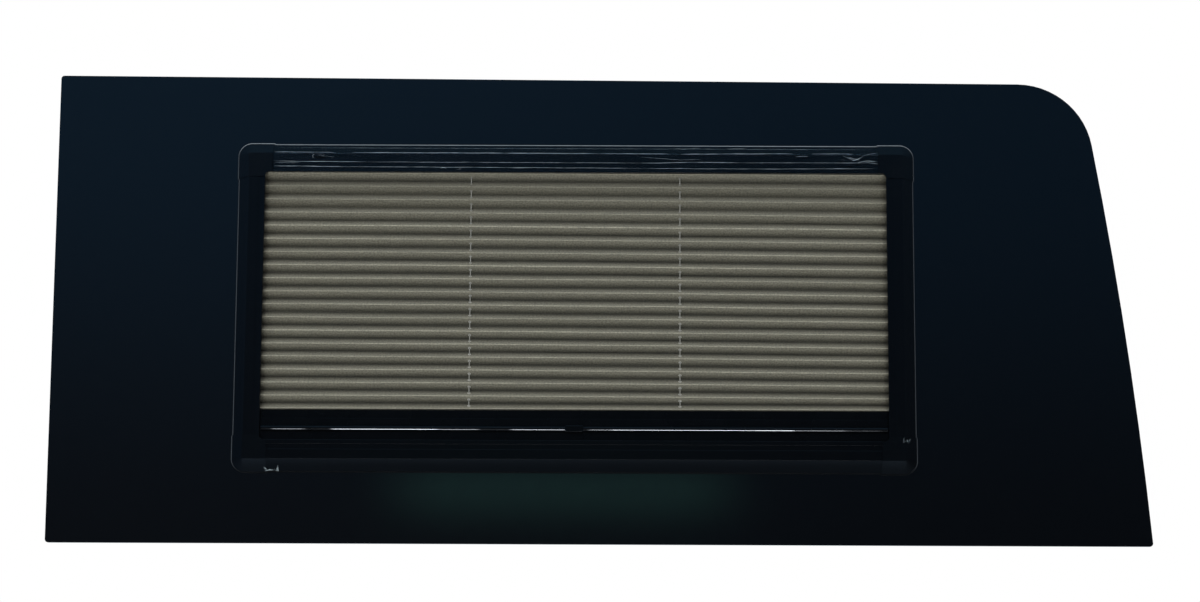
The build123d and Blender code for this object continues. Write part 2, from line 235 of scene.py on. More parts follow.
def coated_metal(name, along, gloss):
    """Black powder coat on an extrusion, with faint draw lines along it."""
    material, tree, shader, place = finish_of(name)
    patch = grained(tree, shader, place, scale=1800.0, depth=0.00012)
    lines = noise_node(tree, stretched(tree, place, *along), scale=160.0, detail=2.0)
    wear = dusted(tree, place, scale=900.0, amount=0.35)
    drive(shader, "Base Color", two_tone(tree, wear, COAT_BLACK, COAT_DUST))
    shader.inputs["Specular IOR Level"].default_value = gloss
    worked = math_node(tree, "MULTIPLY", math_node(tree, "ADD", patch, lines), 0.5)
    drive(shader, "Roughness", ramp(tree, worked, 0.3, 0.7, 0.10, 0.18))
    return material


across_metal = coated_metal("black_coat_across", along=(0.02, 1, 1), gloss=0.16)
upright_metal = coated_metal("black_coat_upright", along=(1, 1, 0.02), gloss=0.20)
coat("vent_frame", across_metal)
coat("sliding_stile", upright_metal)

black_rubber, tree, shader, place = finish_of("black_rubber")
grained(tree, shader, place, scale=900.0, depth=0.0002)
bloom = dusted(tree, place, scale=500.0, amount=0.6)
drive(shader, "Base Color", two_tone(tree, bloom, RUBBER_BLACK, RUBBER_DUST))
shader.inputs["Roughness"].default_value = 0.75
coat("vent_seal", black_rubber)
coat("fixed_stile", black_rubber)

seal_low, seal_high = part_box("cassette_seal")
grey_rubber, tree, shader, place = finish_of("grey_rubber")
grained(tree, shader, place, scale=900.0, depth=0.0002)
axes = axes_of(tree, place)
# The gasket's tones are painted light: a streaky painted highlight along its top edge, painted shade along
# its bottom edge, and a left side painted lighter than the right.
streak = ramp(tree, noise_node(tree, place, scale=60.0), 0.2, 0.6, 0.75, 1.0)
upper_edge = ramp(tree, axes["Z"], seal_high.z - HIGHLIGHT_DEPTH, seal_high.z - SEAL_EDGE)
painted_highlight = math_node(tree, "MULTIPLY", upper_edge, streak)
above_painted_shade = ramp(tree, axes["Z"], seal_low.z + SEAL_EDGE, seal_low.z + SHADE_HEIGHT)
side_tone = two_tone(tree, ramp(tree, axes["X"], seal_low.x, seal_high.x), SEAL_LEFT, SEAL_RIGHT)
lower_tone = two_tone(tree, above_painted_shade, SEAL_PAINTED_SHADE, side_tone)
drive(shader, "Base Color", two_tone(tree, painted_highlight, lower_tone, SEAL_PAINTED_HIGHLIGHT))
shader.inputs["Roughness"].default_value = 0.7
shader.inputs["Specular IOR Level"].default_value = 0.1
coat("cassette_seal", grey_rubber)

# Panes and latch: two tinted 4 mm panes behind the blind, one fixed and one that slides,
# and the flat black latch, moulded in plastic, on the sliding one.
TINT, TINT_DUST = (0.16, 0.18, 0.175), (0.20, 0.21, 0.205)
PLASTIC_BLACK = (0.0009, 0.0012, 0.0016)

tinted_glass, tree, shader, place = finish_of("tinted_glass")
smears = dusted(tree, place, scale=700.0, amount=0.3)
drive(shader, "Roughness", ramp(tree, smears, 0.0, 0.4, 0.02, 0.16))
film_of_dust = dusted(tree, place, scale=700.0, amount=0.2)
drive(shader, "Base Color", two_tone(tree, film_of_dust, TINT, TINT_DUST))
shader.inputs["Transmission Weight"].default_value = 1.0
shader.inputs["IOR"].default_value = GLASS_IOR
coat("fixed_pane", tinted_glass)
coat("sliding_pane", tinted_glass)


def moulded(name, gloss, smooth, rough):
    """Black moulded plastic, finely grained."""
    material, tree, shader, place = finish_of(name)
    patch = grained(tree, shader, place, scale=1100.0, depth=0.00025)
    wear = dusted(tree, place, scale=800.0, amount=0.3)
    drive(shader, "Base Color", two_tone(tree, wear, PLASTIC_BLACK, COAT_DUST))
    shader.inputs["Specular IOR Level"].default_value = gloss
    drive(shader, "Roughness", ramp(tree, patch, 0.3, 0.7, smooth, rough))
    return material


satin_plastic = moulded("satin_plastic", gloss=0.10, smooth=0.25, rough=0.35)
coat("vent_latch", satin_plastic)

# Cassette: black-coated aluminium profiles with a bevelled outer side, pushed on to the
# keys of four moulded corners that stand a little proud of them.
coat("cassette_top", across_metal)
coat("cassette_bottom", across_metal)
coat("cassette_left", upright_metal)
coat("cassette_right", upright_metal)
gloss_plastic = moulded("gloss_plastic", gloss=0.22, smooth=0.12, rough=0.20)
for corner in ("top_left", "top_right", "bottom_left", "bottom_right"):
    coat(f"corner_{corner}", gloss_plastic)

# Protective film: the clear film that the top profile was delivered in is still on it. It lies
# tight over the bevel and the face, and is bubbled and crumpled in places, most at the right end.
FILM_STEP, FILM_ROW = 0.0015, 0.0005
FILM_GAP, FILM_RIPPLE, FILM_FOLD = 0.00012, 0.00006, 0.0006
FILM_START, FILM_END, FILM_SHORT = 0.0006, 0.0316, 0.001
FILM_DARK, FILM_PALE = (0.001, 0.002, 0.003), (0.004, 0.006, 0.008)
BEVEL_WIDTH, BEVEL_RISE, BEND = 0.012, 0.016, 0.0006
BUBBLE_X, BUBBLE_INWARD, BUBBLE_RISE = -0.272, 0.0152, 0.0004
BUBBLE_HALF_LENGTH, BUBBLE_HALF_WIDTH = 0.007, 0.0024
# Each crumpled patch: its share, then from, to and fade, along the profile and in from its edge.
crumpled_patches = (
    (0.5, (0.268, 0.318, 0.02), (0.012, 0.030, 0.004)),
    (0.5, (0.095, 0.135, 0.015), (0.001, 0.008, 0.002)),
    (0.4, (0.225, 0.260, 0.02), (0.010, 0.017, 0.002)),
)
top_low, top_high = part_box("cassette_top")
profile_middle = (top_low.x + top_high.x) / 2
film_reach = (top_high.x - top_low.x) / 2 - FILM_SHORT
bevel_tilt = math.atan2(BEVEL_RISE, BEVEL_WIDTH)


def over_profile(x, inward, lift):
    """A point over the top profile: along it, in from its outer edge, and off its surface."""
    turn = bevel_tilt * min(1.0, max(0.0, (BEVEL_WIDTH + BEND - inward) / (2 * BEND)))
    fall = max(0.0, BEVEL_RISE * (1 - inward / BEVEL_WIDTH))
    return Vector((
        profile_middle + x,
        top_low.y + fall - lift * math.cos(turn),
        top_high.z - inward + lift * math.sin(turn),
    ))


def window_of(value, low, high, fade):
    """1 between two places, falling to 0 at them."""
    return max(0.0, min(1.0, (value - low) / fade, (high - value) / fade))


def lift_of(x, inward):
    """How far the film stands off the profile, with its bubble and its crumpled patches."""
    lift = FILM_GAP + FILM_RIPPLE * noise.noise((x * 20.0, inward * 260.0, 7.0))
    crumple = sum(
        share * window_of(x, *along) * window_of(inward, *across)
        for share, along, across in crumpled_patches
    )
    folds_at = (x * 95.0, inward * 240.0, 11.0)
    fold = noise.noise(folds_at) + 0.4 * noise.noise([2.3 * v for v in folds_at])
    lift += crumple * FILM_FOLD * abs(fold)
    bubble = math.hypot((x - BUBBLE_X) / BUBBLE_HALF_LENGTH, (inward - BUBBLE_INWARD) / BUBBLE_HALF_WIDTH)
    return lift + BUBBLE_RISE * max(0.0, 1 - bubble ** 2)


film_mesh = bmesh.new()
film_count = round(2 * film_reach / FILM_STEP)
film_rows = []
for j in range(round((FILM_END - FILM_START) / FILM_ROW) + 1):
    inward = FILM_START + FILM_ROW * j
    line = []
    for i in range(film_count + 1):
        x = film_reach * (2 * i / film_count - 1)
        line.append(film_mesh.verts.new(over_profile(x, inward, lift_of(x, inward))))
    film_rows.append(line)
for upper, lower in zip(film_rows, film_rows[1:]):
    for i in range(film_count):
        film_mesh.faces.new((upper[i], lower[i], lower[i + 1], upper[i + 1])).smooth = True

clear_film, tree, shader, place = finish_of("clear_film")
haze = noise_node(tree, stretched(tree, place, 0.15, 1, 1), scale=130.0, detail=4.0)
drive(shader, "Base Color", two_tone(tree, haze, FILM_DARK, FILM_PALE))
drive(shader, "Roughness", ramp(tree, haze, 0.3, 0.7, 0.05, 0.11))
drive(shader, "Alpha", ramp(tree, haze, 0.2, 0.8, 0.42, 0.58))
shader.inputs["Specular IOR Level"].default_value = 0.45


def piece_of(name, shape, material, body):
    """A finished mesh made an object that rides on a body."""
    mesh = bpy.data.meshes.new(name)
    bmesh.ops.recalc_face_normals(shape, faces=shape.faces)
    shape.to_mesh(mesh)
    shape.free()
    mesh.materials.append(material)
    item = bpy.data.objects.new(name, mesh)
    bpy.context.collection.objects.link(item)
    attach(item, body)


piece_of("profile_film", film_mesh, clear_film, "window")

# Creases of the film: where it was pulled tight or folded over it stands up in fine lines, coloured
# white as painted highlights. Most run along the bevel's edge and along both edges of the groove.
CREASE_STEP, CREASE_WANDER, CREASE_BULK = 0.0025, 0.00025, 1.25
CREASE_SIDES = 6
CREASE_DIM_HIGHLIGHT, CREASE_BRIGHT_HIGHLIGHT = (0.28, 0.35, 0.40), (0.54, 0.61, 0.66)
# Each crease: its half thickness, then its points, along the profile and in from its edge.
creases = (
    (0.00010, (-0.3205, 0.0103), (-0.2588, 0.0109), (-0.2546, 0.0120)),
    (0.00014, (-0.2376, 0.0110), (-0.0588, 0.0112), (0.0263, 0.0113)),
    (0.00010, (0.0263, 0.0113), (0.0986, 0.0116)),
    (0.00012, (0.1114, 0.0120), (0.1220, 0.0117), (0.1752, 0.0112), (0.2305, 0.0106)),
    (0.00009, (0.2507, 0.0108), (0.2763, 0.0106), (0.2944, 0.0112)),
    (0.00008, (0.2842, 0.0133), (0.2962, 0.0183), (0.3068, 0.0123), (0.3205, 0.0088)),
    (0.00007, (0.2890, 0.0146), (0.2990, 0.0170), (0.3040, 0.0148)),
    (0.00008, (0.2925, 0.0190), (0.2985, 0.0165), (0.3010, 0.0182)),
    (0.00009, (0.2337, 0.0140), (0.2465, 0.0139)),
    (0.00004, (0.0688, 0.0150), (0.0986, 0.0172), (0.1114, 0.0181), (0.1327, 0.0174)),
    (0.00010, (-0.3195, 0.0208), (-0.2450, 0.0211), (-0.2227, 0.0213)),
    (0.00005, (-0.3195, 0.0226), (-0.2929, 0.0224)),
    (0.00006, (-0.2227, 0.0213), (0.0688, 0.0215)),
    (0.00009, (0.0688, 0.0216), (0.0901, 0.0214), (0.1220, 0.0205), (0.1752, 0.0208)),
    (0.00006, (0.1752, 0.0208), (0.3156, 0.0206)),
    (0.00010, (-0.3195, 0.0259), (-0.2450, 0.0265)),
    (0.00008, (-0.2450, 0.0265), (0.0688, 0.0272)),
    (0.00007, (0.0688, 0.0272), (0.1805, 0.0276), (0.3156, 0.0268)),
    (0.00006, (0.1061, 0.0030), (0.1146, 0.0046), (0.1327, 0.0026)),
    (0.00005, (0.1614, 0.0036), (0.1805, 0.0030)),
    (0.00004, (-0.3180, 0.0042), (0.3150, 0.0042)),
    (0.00007, (-0.2770, 0.0128), (-0.2800, 0.0150), (-0.2775, 0.0175)),
    (0.00003, (-0.2720, 0.0146), (-0.2546, 0.0162)),
    (0.00009, (0.2995, 0.0202), (0.3090, 0.0186), (0.3205, 0.0192)),
    (0.00008, (0.3070, 0.0193), (0.3130, 0.0208), (0.3205, 0.0216)),
    (0.00008, (0.3110, 0.0178), (0.3160, 0.0202)),
    (0.00010, (0.2730, 0.0266), (0.2840, 0.0268)),
    (0.00006, (-0.1440, 0.0282), (-0.1407, 0.0270), (-0.1375, 0.0280)),
    (0.00005, (-0.1260, 0.0292), (-0.1200, 0.0282)),
)
crease_lines = bmesh.new()
bulk = crease_lines.verts.layers.float.new("bulk")
for seed, (thick, *points) in enumerate(creases):
    span = math.dist(points[0], points[-1])
    last = None
    for (x0, in0), (x1, in1) in zip(points, points[1:]):
        count = max(2, round(math.hypot(x1 - x0, in1 - in0) / CREASE_STEP))
        for i in range(1 if last else 0, count + 1):
            x = x0 + (x1 - x0) * i / count
            wander = CREASE_WANDER * noise.noise((x * 40.0, seed, 2.0))
            inward = in0 + (in1 - in0) * i / count + wander
            vert = crease_lines.verts.new(over_profile(x, inward, lift_of(x, inward)))
            from_end = min(abs(x - points[0][0]), abs(x - points[-1][0]))
            taper = min(1.0, from_end / (0.15 * span) + 0.2)
            vert[bulk] = CREASE_BULK * thick * taper * max(0.3, 1 + noise.noise((x * 60.0, seed, 4.0)))
            if last:
                crease_lines.edges.new((last, vert))
            last = vert

crease_tree = bpy.data.node_groups.new("Film creases", "GeometryNodeTree")
for label, way, kind in (
    ("Lines", "INPUT", "NodeSocketGeometry"),
    ("Sides", "INPUT", "NodeSocketInt"),
    ("Finish", "INPUT", "NodeSocketMaterial"),
    ("Creases", "OUTPUT", "NodeSocketGeometry"),
):
    crease_tree.interface.new_socket(label, in_out=way, socket_type=kind)
given = crease_tree.nodes.new("NodeGroupInput")
traced = crease_tree.nodes.new("GeometryNodeMeshToCurve")
stored = crease_tree.nodes.new("GeometryNodeInputNamedAttribute")
stored.data_type = "FLOAT"
stored.inputs["Name"].default_value = "bulk"
ring = crease_tree.nodes.new("GeometryNodeCurvePrimitiveCircle")
ring.inputs["Radius"].default_value = 1.0
swept = crease_tree.nodes.new("GeometryNodeCurveToMesh")
swept.inputs["Fill Caps"].default_value = True
plain = crease_tree.nodes.new("GeometryNodeRealizeInstances")
finished = crease_tree.nodes.new("GeometryNodeSetMaterial")
result = crease_tree.nodes.new("NodeGroupOutput")
for start, end in (
    (given.outputs["Lines"], traced.inputs["Mesh"]),
    (traced.outputs["Curve"], swept.inputs["Curve"]),
    (stored.outputs["Attribute"], swept.inputs["Scale"]),
    (given.outputs["Sides"], ring.inputs["Resolution"]),
    (ring.outputs["Curve"], swept.inputs["Profile Curve"]),
    (swept.outputs["Mesh"], plain.inputs["Geometry"]),
    (plain.outputs["Geometry"], finished.inputs["Geometry"]),
    (given.outputs["Finish"], finished.inputs["Material"]),
    (finished.outputs["Geometry"], result.inputs["Creases"]),
):
    crease_tree.links.new(start, end)

crease_highlight_paint, tree, shader, place = finish_of("crease_highlight_paint")
# Painted highlight: the crease lines are coloured pale to white in patches, where light would catch them.
highlight_paint = ramp(tree, noise_node(tree, place, scale=180.0), 0.3, 0.6)
drive(shader, "Base Color", two_tone(tree, highlight_paint, CREASE_DIM_HIGHLIGHT, CREASE_BRIGHT_HIGHLIGHT))
drive(shader, "Roughness", ramp(tree, highlight_paint, 0.0, 1.0, 0.25, 0.45))

line_mesh = bpy.data.meshes.new("crease_lines")
crease_lines.to_mesh(line_mesh)
crease_lines.free()
crease_piece = bpy.data.objects.new("film_creases", line_mesh)
bpy.context.collection.objects.link(crease_piece)
sweep = crease_piece.modifiers.new("creases", "NODES")
sweep.node_group = crease_tree
asked = [item for item in crease_tree.interface.items_tree if item.in_out == "INPUT"]
sockets = {item.name: item.identifier for item in asked}
sweep[sockets["Sides"]] = CREASE_SIDES
sweep[sockets["Finish"]] = crease_highlight_paint
raised = crease_piece.evaluated_get(bpy.context.evaluated_depsgraph_get())
crease_piece.data = bpy.data.meshes.new_from_object(raised)
crease_piece.modifiers.clear()
bpy.data.meshes.remove(line_mesh)
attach(crease_piece, "window")

# Scraps of film: torn bits of the same film left on the lower bevel and on the right corner,
# gone white where they were stretched. Their ends stand up and curl away.
SCRAP_ALONG, SCRAP_UP = 13, 5
SCRAP_WAIST, SCRAP_END = 0.22, 0.4
SCRAP_OFF, SCRAP_CURL, SCRAP_CRUMPLE, SCRAP_DROP = 0.0002, 0.0011, 0.0004, 0.0026
TORN_CLEAR, TORN_WHITE = (0.07, 0.085, 0.09), (0.36, 0.42, 0.43)
bottom_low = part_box("cassette_bottom")[0]
corner_low, corner_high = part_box("corner_bottom_right")
scraps = bmesh.new()


def scrap(middle, along, up, outward, length, width, wave, seed):
    """A small torn flap with a ragged outline, curling off the surface at its ends."""
    flap = []
    for i in range(SCRAP_ALONG):
        t = 2 * i / (SCRAP_ALONG - 1) - 1
        standing = max(0.0, abs(t) - (1 - SCRAP_END)) / SCRAP_END
        ragged = 1 + 0.5 * noise.noise((t * 4.0, seed, 0.5))
        tall = width * (SCRAP_WAIST + (1 - SCRAP_WAIST) * standing) * ragged
        row = []
        for j in range(SCRAP_UP):
            v = j / (SCRAP_UP - 1) * tall + wave * math.cos(1.4 * math.pi * t) - SCRAP_DROP
            crumple = SCRAP_CRUMPLE * abs(noise.noise((t * 3.0, j * 0.8, seed)))
            off = SCRAP_OFF + SCRAP_CURL * t * t + crumple
            row.append(scraps.verts.new(middle + along * (t * length / 2) + up * v + outward * off))
        flap.append(row)
    for a, b in zip(flap, flap[1:]):
        for j in range(SCRAP_UP - 1):
            scraps.faces.new((a[j], a[j + 1], b[j + 1], b[j])).smooth = True


level = Vector((1, 0, 0))
bevel_out = Vector((0, -math.cos(bevel_tilt), -math.sin(bevel_tilt)))
bevel_up = Vector((0, -math.sin(bevel_tilt), math.cos(bevel_tilt)))
face_out = Vector((0, -1, 0))
face_up = Vector((0.25, 0, 0.97))
on_bevel = Vector((bottom_low.x + 0.0045, bottom_low.y + BEVEL_RISE - 0.0030, bottom_low.z + 0.0022))
on_corner = Vector((corner_high.x - 0.0125, corner_low.y, corner_high.z - 0.0175))
scrap(on_bevel, level, bevel_up, bevel_out, length=0.0150, width=0.0085, wave=0.0, seed=1.7)
scrap(on_corner, level, face_up, face_out, length=0.0066, width=0.0036, wave=0.0016, seed=4.2)

torn_film, tree, shader, place = finish_of("torn_film")
stress = ramp(tree, noise_node(tree, place, scale=420.0), 0.35, 0.6)
drive(shader, "Base Color", two_tone(tree, stress, TORN_CLEAR, TORN_WHITE))
drive(shader, "Roughness", ramp(tree, stress, 0.0, 1.0, 0.25, 0.5))
drive(shader, "Alpha", ramp(tree, stress, 0.0, 1.0, 0.45, 0.95))
piece_of("film_scraps", scraps, torn_film, "window")

# Head rail and buttons: the mill-finish channel that grips the first pleat, up in the cassette's
# top, and the two moulded buttons that hold the cords' lower ends.
MILL_DARK, MILL_BRIGHT = (0.42, 0.42, 0.43), (0.56, 0.56, 0.57)
plain_metal, tree, shader, place = finish_of("mill_aluminium")
drawn = noise_node(tree, stretched(tree, place, 0.02, 1, 1), scale=200.0)
drive(shader, "Base Color", two_tone(tree, drawn, MILL_DARK, MILL_BRIGHT))
shader.inputs["Metallic"].default_value = 1.0
drive(shader, "Roughness", ramp(tree, noise_node(tree, place, scale=80.0), 0.3, 0.7, 0.32, 0.48))
coat("head_rail", plain_metal)
coat("anchor_left", satin_plastic)
coat("anchor_right", satin_plastic)

# Pleated blind: one width of polyester cloth folded to and fro, coated on its back. The folds are
# set by heat and punched for the cords; they open a little unevenly and hang lower to the right.
PLEATS = 18
LOW_HANG = 0.019
FOLD_INSET, FRONT_CLEAR, BACK_CLEAR = 0.0014, 0.0001, 0.0002
FOLD_ROUND, FOLD_SHARE = 0.0004, 0.16
WAVE_SHORT, WAVE_LONG = 0.00045, 0.0005
BOW, RIGHT_SAG, SAG_FADE = 0.00035, 0.0041, 0.010
COLUMNS, HOLE_COLUMN, HOLE_MARGIN, HOLE_REACH = 72, 0.0004, 0.0025, 0.0042
HOLE_RADIUS, RIM_RADIUS, RIM_FADE = 0.0009, 0.0016, 0.0004
RIM_LEAST = 0.1
CLOTH_THICK = 0.0003
# Where the points of a panel lie on its way down, closest by the folds and the holes.
PANEL_ROWS = (0.0, 0.05, 0.16, 0.36, 0.43, 0.465, 0.5, 0.535, 0.57, 0.64, 0.84, 0.95)
sheet_low, sheet_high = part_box("pleated_blind")
hang = sheet_high.z - sheet_low.z
front, back = sheet_low.y + FRONT_CLEAR, sheet_high.y - BACK_CLEAR
cord_depth = (front + back) / 2
cord_low, cord_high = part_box("cord_right")
centre = (sheet_low.x + sheet_high.x) / 2
cord_at = (cord_low.x + cord_high.x) / 2 - centre
half = (sheet_high.x - sheet_low.x) / 2

fold_top, fold_base = sheet_high.z - FOLD_INSET, sheet_low.z + FOLD_INSET
folds = [(sheet_high.z, cord_depth)]
for i in range(2 * PLEATS + 1):
    t = i / (2 * PLEATS)
    drop = (fold_top - fold_base) * (t + LOW_HANG * t * (1 - t))
    folds.append((fold_top - drop, back if i % 2 else front))
folds.append((sheet_low.z, cord_depth))
last_panel = len(folds) - 2

columns = [centre - half + 2 * half * i / COLUMNS for i in range(COLUMNS + 1)]
for hand in (-1, 1):
    cord_x = centre + hand * cord_at
    columns = [x for x in columns if abs(x - cord_x) > HOLE_REACH]
    columns += [cord_x + HOLE_COLUMN * k for k in range(-4, 5)]
    columns += [cord_x + away for away in (-HOLE_REACH, -HOLE_MARGIN, HOLE_MARGIN, HOLE_REACH)]
columns.sort()

rows = []
cloth_length = 0.0
for k, ((z0, y0), (z1, y1)) in enumerate(zip(folds, folds[1:])):
    panel = math.hypot(z1 - z0, y1 - y0)
    for s in PANEL_ROWS + ((1.0,) if k == last_panel else ()):
        rows.append((k, s, z0 + (z1 - z0) * s, y0 + (y1 - y0) * s, cloth_length + panel * s))
    cloth_length += panel


def from_cord(x, y):
    """How far a point of the sheet, seen from above, is from the nearer cord."""
    return min(math.hypot(x - centre - hand * cord_at, y - cord_depth) for hand in (-1, 1))


blind = bmesh.new()
crease = blind.verts.layers.float.new("crease")
hole_glint = blind.verts.layers.float.new("hole_glint")
flat_map = blind.loops.layers.uv.new("flat")
sheet_rows = []
for k, s, z, y, run in rows:
    line = []
    backward = (front - y) / (front - back)
    slack = math.sin(math.pi * (z - sheet_low.z) / hang)
    # Painted highlight where the cord shows at each hole: a pale ring round the hole, fading towards the
    # top.
    glint_share = RIM_LEAST + (1 - RIM_LEAST) * (sheet_high.z - z) / hang
    settled = min(1.0, max(0.0, (z - fold_base) / SAG_FADE))
    near_fold = 1 - min(1.0, min(s, 1 - s) / FOLD_SHARE)
    rounding = FOLD_ROUND * near_fold * (1 if backward > 0.5 else -1) if 0 < k < last_panel else 0.0
    depth = min(max(y + rounding, sheet_low.y), sheet_high.y)
    for x in columns:
        across = (x - centre + half) / (2 * half)
        wave = noise.noise((x * 7.0, k * 0.37, 3.1)) * WAVE_SHORT
        wave += noise.noise((x * 2.2, k * 0.9, 8.3)) * WAVE_LONG
        bow = BOW * math.sin(math.pi * across) * slack
        sag = RIGHT_SAG * across ** 2 * math.sqrt(max(0.0, slack)) * settled
        vert = blind.verts.new((x, depth, z + wave * slack - bow - sag))
        vert[crease] = 1 - backward
        vert[hole_glint] = glint_share * max(0.0, min(1.0, (RIM_RADIUS - from_cord(x, y)) / RIM_FADE))
        line.append(vert)
    sheet_rows.append((line, run, y))
for (upper, run0, y0), (lower, run1, y1) in zip(sheet_rows, sheet_rows[1:]):
    for i, (x0, x1) in enumerate(zip(columns, columns[1:])):
        if from_cord((x0 + x1) / 2, (y0 + y1) / 2) < HOLE_RADIUS:
            continue
        face = blind.faces.new((upper[i], lower[i], lower[i + 1], upper[i + 1]))
        face.smooth = True
        for loop, (x, run) in zip(face.loops, ((x0, run0), (x0, run1), (x1, run1), (x1, run0))):
            loop[flat_map].uv = (x - centre + half, run)
mesh = bpy.data.meshes.new("blind_cloth")
blind.to_mesh(mesh)
blind.free()
cloth = bpy.data.objects.new("blind_cloth", mesh)
bpy.context.collection.objects.link(cloth)
wall = cloth.modifiers.new("thickness", "SOLIDIFY")
wall.thickness = CLOTH_THICK
wall.offset = 0.0

THREADS = 260.0
CLOTH_TOP_SHADE, CLOTH_TONE, CLOTH_RIDGE_HIGHLIGHT = (0.169, 0.160, 0.122), (0.217, 0.205, 0.157), (0.330, 0.315, 0.246)
VALLEY_SHADE_TINT, RIDGE_UNSHADED = (0.36, 0.37, 0.38), (1, 1, 1)
NAP_DARK, NAP_LIGHT = (0.70, 0.70, 0.71), (1.28, 1.28, 1.27)
HOLE_GLINT_TINT = (0.95, 0.94, 0.86)


def stored_on(tree, name):
    """A value that the mesh carries at its points."""
    node = tree.nodes.new("ShaderNodeAttribute")
    node.attribute_name = name
    return node.outputs["Fac"]


blind_cloth, tree, shader, place = finish_of("blind_cloth")
uv = tree.nodes.new("ShaderNodeUVMap")
uv.uv_map = "flat"
flat = uv.outputs["UV"]
threads = []
for direction in ("X", "Y"):
    yarns = tree.nodes.new("ShaderNodeTexWave")
    yarns.bands_direction = direction
    yarns.inputs["Scale"].default_value = THREADS
    yarns.inputs["Distortion"].default_value = 0.6
    tree.links.new(flat, yarns.inputs["Vector"])
    threads.append(yarns.outputs["Fac"])
embossed(tree, shader, math_node(tree, "MULTIPLY", *threads), strength=0.25, depth=0.00012)

ridge = stored_on(tree, "crease")
down = axes_of(tree, flat)["Y"]
# Painted shade under the cassette's top: the first pleat and the uppermost cloth are painted darker.
first_pleat = ramp(tree, down, 0.017, 0.027, 1.0, 0.0)
clear_of_top_shade = math_node(tree, "MAXIMUM", ramp(tree, down, 0.0, 0.115), first_pleat)
valley_shade_reach = math_node(tree, "MAXIMUM", ramp(tree, down, 0.0, 0.16, 0.55, 1.0), first_pleat)
slub = noise_node(tree, stretched(tree, flat, 1, 30, 1), scale=60.0, detail=4.0)
crepe = noise_node(tree, flat, scale=480.0, detail=1.0)
nap = ramp(tree, math_node(tree, "MULTIPLY", math_node(tree, "ADD", slub, crepe), 0.5), 0.34, 0.66)
# Painted highlight: the front fold of each pleat is painted lighter along a thin line.
tone = two_tone(tree, ramp(tree, ridge, 0.90, 1.0), CLOTH_TONE, CLOTH_RIDGE_HIGHLIGHT)
tone = two_tone(tree, clear_of_top_shade, CLOTH_TOP_SHADE, tone)
# Painted shade: the cloth is darkened towards the back fold of each valley, a little less just under the
# top but fully on the first pleat.
valley_shade = two_tone(tree, ramp(tree, ridge, -0.1, 0.85), VALLEY_SHADE_TINT, RIDGE_UNSHADED)
tone = two_tone(tree, valley_shade_reach, tone, valley_shade, "MULTIPLY")
tone = two_tone(tree, 1.0, tone, two_tone(tree, nap, NAP_DARK, NAP_LIGHT), "MULTIPLY")
# The pale rings round the cord holes are a painted highlight, standing in for the cord catching the light.
drive(shader, "Base Color", two_tone(tree, stored_on(tree, "hole_glint"), tone, HOLE_GLINT_TINT))
shader.inputs["Roughness"].default_value = 0.85
shader.inputs["Specular IOR Level"].default_value = 0.15
shader.inputs["Sheen Weight"].default_value = 0.05
mesh.materials.append(blind_cloth)

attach(cloth, "window")
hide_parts("pleated_blind")
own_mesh(cloth)

# Cords: two braided polyester cords, stretched from the head rail through every pleat
# and the pull bar down to their buttons.
BRAID_DARK, BRAID_LIGHT = (0.22, 0.214, 0.187), (0.33, 0.321, 0.282)
braid, tree, shader, place = finish_of("cord_braid")
strands = tree.nodes.new("ShaderNodeTexWave")
strands.bands_direction = "DIAGONAL"
strands.inputs["Scale"].default_value = 420.0
tree.links.new(place, strands.inputs["Vector"])
drive(shader, "Base Color", two_tone(tree, strands.outputs["Fac"], BRAID_DARK, BRAID_LIGHT))
embossed(tree, shader, strands.outputs["Fac"], strength=0.5, depth=0.0002)
shader.inputs["Roughness"].default_value = 0.7
coat("cord_left", braid)
coat("cord_right", braid)

# Pull bar: a black anodised extrusion under the blind with a round grip rib, which fingers have
# polished in stretches; a moulded tab marks the middle and shoes close the ends.
RIB_CENTRE, RIB_DEPTH = 0.0196, 0.0030
POLISH_FROM, POLISH_TO, POLISH_FADE = 0.0005, 0.0014, 0.004
# Each polished stretch of the rib: from, to, and how far it is polished.
stretches = (
    (-0.341, -0.309, 0.28), (-0.279, -0.170, 0.85), (-0.172, -0.126, 0.28),
    (-0.092, -0.034, 0.52), (-0.010, 0.016, 0.30), (0.014, 0.167, 0.70),
    (0.165, 0.203, 1.0), (0.202, 0.256, 0.24), (0.254, 0.292, 0.05),
)
bar_low, bar_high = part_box("pull_bar")
bar_metal, tree, shader, place = finish_of("bar_anodised")
bar_patch = grained(tree, shader, place, scale=2200.0, depth=0.00006)
axes = axes_of(tree, place)
below = math_node(tree, "SUBTRACT", bar_high.z - RIB_CENTRE, axes["Z"])
under_top = math_node(tree, "GREATER_THAN", below, POLISH_FROM)
over_base = math_node(tree, "LESS_THAN", below, POLISH_TO)
band = math_node(tree, "MULTIPLY", under_top, over_base)
rib_face = math_node(tree, "LESS_THAN", axes["Y"], bar_low.y + RIB_DEPTH)
shine = 0.0
for start, end, strength in stretches:
    reach = (end - start) / 2
    away = math_node(tree, "ABSOLUTE", math_node(tree, "SUBTRACT", axes["X"], (start + end) / 2))
    rubbed = ramp(tree, away, reach - POLISH_FADE, reach + POLISH_FADE, strength, 0.0)
    shine = math_node(tree, "ADD", shine, rubbed, clamp=True)
polished = math_node(tree, "MULTIPLY", math_node(tree, "MULTIPLY", band, rib_face), shine)
drive(shader, "Coat Weight", polished)
shader.inputs["Coat Roughness"].default_value = 0.06
shader.inputs["Coat IOR"].default_value = 3.4
bar_dust = dusted(tree, place, scale=900.0, amount=0.3)
drive(shader, "Base Color", two_tone(tree, bar_dust, COAT_BLACK, COAT_DUST))
shader.inputs["Specular IOR Level"].default_value = 0.10
drive(shader, "Roughness", ramp(tree, bar_patch, 0.3, 0.7, 0.22, 0.32))
